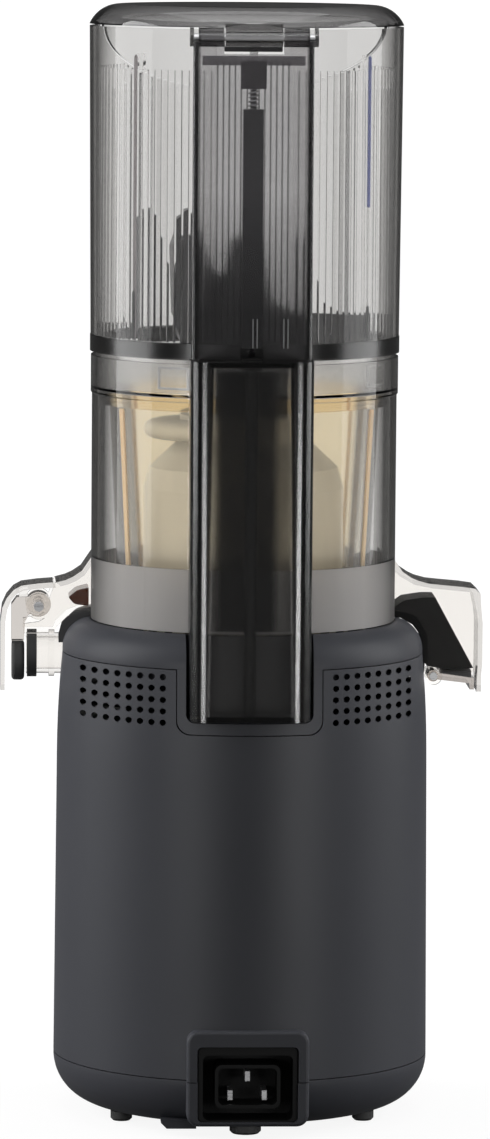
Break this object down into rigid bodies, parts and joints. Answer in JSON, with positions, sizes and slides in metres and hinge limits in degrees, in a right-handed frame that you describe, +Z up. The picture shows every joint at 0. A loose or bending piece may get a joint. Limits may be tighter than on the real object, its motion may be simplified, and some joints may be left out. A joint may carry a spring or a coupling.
{
  "type": "cold press juicer",
  "caption": "Upright slow juicer: round motor base with side spouts, clear juicing chamber with a box handle, and a tall feed hopper with a rear-hinged lid.",
  "frame": {"origin": "on the table under the middle of the base, at the foot of the auger's axis", "axes": "+Z up along the auger's axis; +Y out of the control dial, so -Y is the back with the mains inlet and the handle; juice leaves to -X and pulp to +X"},
  "size_m": [0.2016, 0.16, 0.4615],
  "materials": {
    "graphite_shell": "satin moulded plastic",
    "black_plastic": "fine matte",
    "rubber_dark": "matte rubber",
    "steel": "machined",
    "motor_steel": "zinc plated",
    "bronze": "sintered",
    "structural_plastic": "glass filled",
    "circuit_board": "solder resist",
    "dial_plastic": "satin silver",
    "clear_plastic": "polished clear",
    "smoked_plastic": "polished smoked",
    "hopper_plastic": "polished, lightly smoked",
    "frosted_plastic": "frosted",
    "amber_resin": "translucent amber",
    "auger_resin": "fine matte",
    "wing_plastic": "fine matte"
  },
  "bodies": {
    "base": {"body_shell": "graphite_shell", "rear_cover": "graphite_shell", "front_cover": "graphite_shell", "bottom_pan": "graphite_shell", "dial_bezel": "black_plastic", "well": "black_plastic", "feet": "rubber_dark", "pan_screws": "steel", "inlet_socket": "black_plastic", "inlet_pins": "steel", "dial_switch": "black_plastic", "interlock_switch": "black_plastic", "control_board": "circuit_board", "motor_can": "motor_steel", "stator": "motor_steel", "motor_bearings": "steel", "gearbox_case": "structural_plastic", "gearbox_lid": "structural_plastic", "idler_shaft": "steel", "drive_bush": "bronze", "chassis_plate": "structural_plastic"},
    "dial": {"control_dial": "dial_plastic"},
    "rotor": {"rotor": "motor_steel", "rotor_shaft": "steel", "cooling_fan": "black_plastic"},
    "idler": {"idler_gear": "steel"},
    "drive": {"output_gear": "steel", "drive_shaft": "steel"},
    "chamber": {"chamber_bowl": "clear_plastic", "chamber_skirt": "frosted_plastic", "chamber_handle": "smoked_plastic", "shaft_seal": "rubber_dark", "strainer": "amber_resin", "juice_spout": "clear_plastic", "spout_ring": "rubber_dark", "juice_hood": "clear_plastic", "spout_saddle": "black_plastic", "spout_pins": "steel", "pulp_hood": "clear_plastic", "pulp_chute": "black_plastic"},
    "push_rod": {"interlock_rod": "black_plastic"},
    "juice_cap": {"juice_cap": "clear_plastic", "cap_arm": "smoked_plastic", "cap_seal": "rubber_dark"},
    "pulp_lever": {"pulp_lever": "smoked_plastic", "lever_seal": "rubber_dark"},
    "auger": {"auger": "auger_resin", "auger_core": "structural_plastic", "cutting_wing": "wing_plastic"},
    "hopper": {"hopper_shell": "hopper_plastic", "hopper_liner": "hopper_plastic", "bayonet_ring": "smoked_plastic", "rear_column": "smoked_plastic", "hinge_pin": "steel", "hinge_caps": "smoked_plastic", "plunger_tube": "black_plastic", "plunger_spring": "steel"},
    "plunger": {"interlock_plunger": "black_plastic"},
    "lid": {"lid": "smoked_plastic", "lid_visor": "clear_plastic"}
  },
  "joints": [
    {"name": "dial_turn", "type": "hinge", "parent": "base", "child": "dial", "pos_m": [0, 0.07, 0.095], "axis": [0, 1, 0], "range_deg": [-50, 50]},
    {"name": "output_spin", "type": "hinge", "parent": "base", "child": "drive", "pos_m": [0, 0, 0.16], "axis": [0, 0, 1], "continuous": true},
    {"name": "rotor_spin", "type": "hinge", "parent": "base", "child": "rotor", "pos_m": [0, 0, 0.08], "axis": [0, 0, 1], "continuous": true},
    {"name": "idler_spin", "type": "hinge", "parent": "base", "child": "idler", "pos_m": [0.03, 0, 0.14], "axis": [0, 0, 1], "continuous": true},
    {"name": "chamber_lift", "type": "slide", "parent": "base", "child": "chamber", "axis": [0, 0, 1], "range_m": [0, 0.06]},
    {"name": "auger_spin", "type": "hinge", "parent": "chamber", "child": "auger", "pos_m": [0, 0, 0.2], "axis": [0, 0, 1], "continuous": true},
    {"name": "push_rod_slide", "type": "slide", "parent": "chamber", "child": "push_rod", "axis": [0, 0, 1], "range_m": [0, 0.003]},
    {"name": "cap_hinge", "type": "hinge", "parent": "chamber", "child": "juice_cap", "pos_m": [-0.0849, 0.018, 0.2106], "axis": [0, 1, 0], "range_deg": [0, 80]},
    {"name": "lever_hinge", "type": "hinge", "parent": "chamber", "child": "pulp_lever", "pos_m": [0.0804, 0.018, 0.1816], "axis": [0, 1, 0], "range_deg": [0, 60]},
    {"name": "hopper_lift", "type": "slide", "parent": "chamber", "child": "hopper", "axis": [0, 0, 1], "range_m": [0, 0.07]},
    {"name": "plunger_slide", "type": "slide", "parent": "hopper", "child": "plunger", "axis": [0, 0, 1], "range_m": [0, 0.003], "deforming": ["plunger_spring"]},
    {"name": "lid_hinge", "type": "hinge", "parent": "hopper", "child": "lid", "pos_m": [0, -0.066, 0.4496], "axis": [1, 0, 0], "range_deg": [0, 95]}
  ],
  "couplings": [
    {"joint": "rotor_spin", "follows": "output_spin", "ratio": 12},
    {"joint": "idler_spin", "follows": "output_spin", "ratio": -4},
    {"joint": "auger_spin", "follows": "output_spin", "ratio": 1},
    {"joint": "plunger_slide", "follows": "lid_hinge", "m_per_rad": 0.0017},
    {"joint": "push_rod_slide", "follows": "lid_hinge", "m_per_rad": 0.0017}
  ]
}
